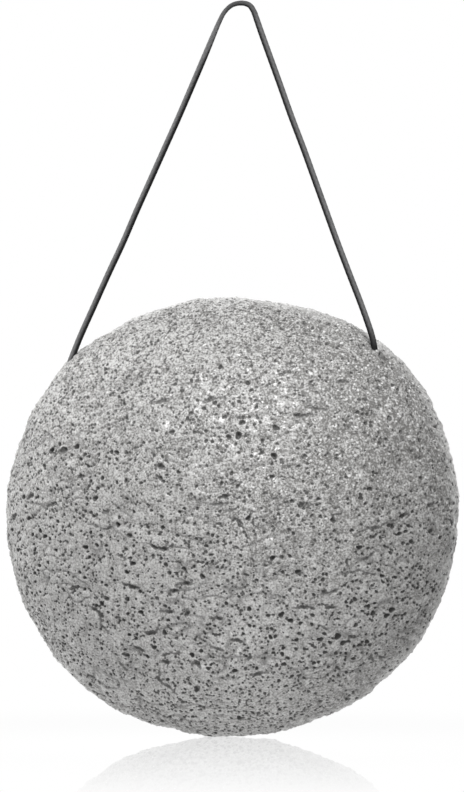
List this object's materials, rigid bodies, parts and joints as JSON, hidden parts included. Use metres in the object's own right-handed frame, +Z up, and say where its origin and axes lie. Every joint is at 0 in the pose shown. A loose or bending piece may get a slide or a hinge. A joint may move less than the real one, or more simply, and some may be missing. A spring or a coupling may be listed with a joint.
{
  "type": "konjac face sponge",
  "caption": "Half-ball konjac face sponge of damp charcoal-grey foam, domed in front and flat behind, hanging on a loop of dark waxed cord.",
  "frame": {"origin": "middle of the cord at the top of its loop, where a hook carries it", "axes": "+X to the right of someone who faces the dome, +Y out of the flat back, +Z up"},
  "size_m": [0.0801, 0.039, 0.1295],
  "materials": {
    "foam": "damp open-pored konjac foam, charcoal grey",
    "cord": "waxed braided cotton, charcoal black"
  },
  "bodies": {
    "cord": {"hanging_cord": "cord"},
    "sponge": {"sponge_body": "foam", "cord_run_left": "cord", "cord_run_right": "cord", "cord_knot": "cord"}
  },
  "joints": [
    {"name": "sponge_swing", "type": "hinge", "parent": "cord", "child": "sponge", "pos_m": [-0.03023, 0, -0.06253], "axis": [0.9993, 0, 0.0379], "range_deg": [-80, 35]}
  ]
}
